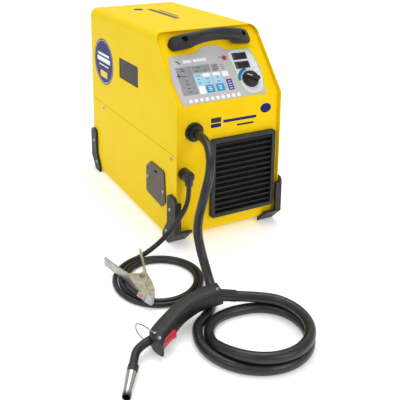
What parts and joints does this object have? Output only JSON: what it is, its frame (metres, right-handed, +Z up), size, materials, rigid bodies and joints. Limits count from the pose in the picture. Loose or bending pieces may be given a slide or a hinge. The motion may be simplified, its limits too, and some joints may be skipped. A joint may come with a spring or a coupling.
{
  "type": "welding machine",
  "caption": "Sheet-steel wire-feed welding machine on corner skids, with a coiled torch hose and gun and an earth cable with clamp.",
  "frame": {"origin": "centre of the base tray's flat underside", "axes": "+Z up, -Y towards the front grille and controls, +X to the right seen from the front"},
  "size_m": [0.4981, 0.8612, 0.4254],
  "materials": {
    "yellow_paint": "gloss powder coat",
    "yellow_front": "satin powder coat",
    "black_plastic": "fine texture",
    "grip_black": "satin",
    "smoked": "tinted acrylic",
    "zinc": "zinc plated",
    "hatch_grey": "fine texture",
    "label": "printed film",
    "lamp_red": "translucent",
    "galvanised": "galvanised sheet",
    "core_steel": "laminated and varnished",
    "copper": "enamelled",
    "aluminium": "extruded",
    "board_green": "solder mask",
    "brass": "machined",
    "spool_plastic": "moulded",
    "wire": "coppered wire",
    "hose_rubber": "matt",
    "torch_black": "fine texture",
    "trigger_red": "gloss",
    "neck_black": "satin",
    "nozzle_metal": "nickel plated",
    "clamp_steel": "bright zinc",
    "steel": "ground"
  },
  "bodies": {
    "machine": {"base_tray": "yellow_paint", "right_panel": "yellow_paint", "left_lower_panel": "yellow_paint", "rear_panel": "yellow_front", "front_panel": "yellow_front", "cover_hinge_pin": "steel", "front_left_skid": "black_plastic", "front_right_skid": "black_plastic", "rear_left_skid": "black_plastic", "rear_right_skid": "black_plastic", "case_screws": "zinc", "polarity_hatch": "hatch_grey", "carry_handle": "grip_black", "control_overlay": "label", "switch_bodies": "black_plastic", "warning_lamp": "lamp_red", "front_grille": "black_plastic", "torch_gland": "black_plastic", "earth_boot": "hose_rubber", "mains_gland": "black_plastic", "gas_inlet": "brass", "gas_valve": "brass", "partition": "galvanised", "transformer_core": "core_steel", "transformer_windings": "copper", "output_choke": "copper", "rectifier": "aluminium", "control_board": "board_green", "fan_frame": "spool_plastic", "spool_hub": "spool_plastic", "spool_nut": "spool_plastic", "feeder_plate": "galvanised", "feed_motor": "steel", "torch_connector": "brass", "torch_hose": "hose_rubber", "torch_hose_coil": "hose_rubber", "torch_handle_upper": "torch_black", "torch_handle_lower": "torch_black", "torch_sleeve": "hose_rubber", "torch_neck": "neck_black", "gas_nozzle": "nozzle_metal", "earth_cable": "hose_rubber", "earth_cable_coil": "hose_rubber", "clamp_fixed_arm": "clamp_steel", "clamp_pivot": "steel"},
    "cover": {"access_cover": "yellow_paint", "window_pane": "smoked"},
    "knob": {"selector_knob": "grip_black"},
    "power_switch": {"power_rocker": "grip_black"},
    "range_switch": {"range_rocker": "grip_black"},
    "spool": {"wire_spool": "spool_plastic", "wire_winding": "wire"},
    "fan": {"fan_rotor": "spool_plastic"},
    "drive": {"drive_roller": "steel"},
    "press_arm": {"pressure_arm": "aluminium", "pressure_screw": "spool_plastic"},
    "press_roller": {"pressure_roller": "steel"},
    "trigger": {"torch_trigger": "trigger_red"},
    "hook": {"torch_hook": "steel"},
    "clamp_arm": {"clamp_moving_arm": "clamp_steel"}
  },
  "joints": [
    {"name": "cover_hinge", "type": "hinge", "parent": "machine", "child": "cover", "pos_m": [0.1225, 0, 0.383], "axis": [0, 1, 0], "range_deg": [0, 95]},
    {"name": "knob_turn", "type": "hinge", "parent": "machine", "child": "knob", "pos_m": [0.063, -0.2014, 0.30803], "axis": [0, -0.7833, 0.6217], "range_deg": [-135, 135]},
    {"name": "power_rock", "type": "hinge", "parent": "machine", "child": "power_switch", "pos_m": [0.057, -0.16611, 0.34768], "axis": [0, 0.6217, 0.7833], "range_deg": [0, 14]},
    {"name": "range_rock", "type": "hinge", "parent": "machine", "child": "range_switch", "pos_m": [0.057, -0.17854, 0.33202], "axis": [0, 0.6217, 0.7833], "range_deg": [0, 14]},
    {"name": "spool_spin", "type": "hinge", "parent": "machine", "child": "spool", "pos_m": [-0.0774, 0.062, 0.196], "axis": [1, 0, 0], "continuous": true},
    {"name": "fan_spin", "type": "hinge", "parent": "machine", "child": "fan", "pos_m": [0.034, -0.2094, 0.12], "axis": [0, 1, 0], "continuous": true},
    {"name": "drive_spin", "type": "hinge", "parent": "machine", "child": "drive", "pos_m": [-0.078, -0.128, 0.21], "axis": [1, 0, 0], "continuous": true},
    {"name": "press_arm_lift", "type": "hinge", "parent": "machine", "child": "press_arm", "pos_m": [-0.0665, -0.092, 0.255], "axis": [-1, 0, 0], "range_deg": [0, 40]},
    {"name": "press_roller_spin", "type": "hinge", "parent": "press_arm", "child": "press_roller", "pos_m": [-0.078, -0.128, 0.2368], "axis": [1, 0, 0], "continuous": true},
    {"name": "trigger_pull", "type": "hinge", "parent": "machine", "child": "trigger", "pos_m": [-0.28416, -0.49778, 0.01176], "axis": [-0.1162, -0.0595, 0.9914], "range_deg": [0, 7], "stiffness_Nm_per_rad": 0.5, "springref_deg": -5.73},
    {"name": "hook_swing", "type": "hinge", "parent": "machine", "child": "hook", "pos_m": [-0.28741, -0.48708, 0.01203], "axis": [-0.1162, -0.0595, 0.9914], "range_deg": [-30, 45]},
    {"name": "clamp_open", "type": "hinge", "parent": "machine", "child": "clamp_arm", "pos_m": [-0.238, -0.329, 0.01], "axis": [0, 0, 1], "range_deg": [0, 25], "stiffness_Nm_per_rad": 3, "springref_deg": -20.05}
  ],
  "couplings": [
    {"joint": "press_roller_spin", "follows": "drive_spin", "ratio": -1.3636}
  ]
}
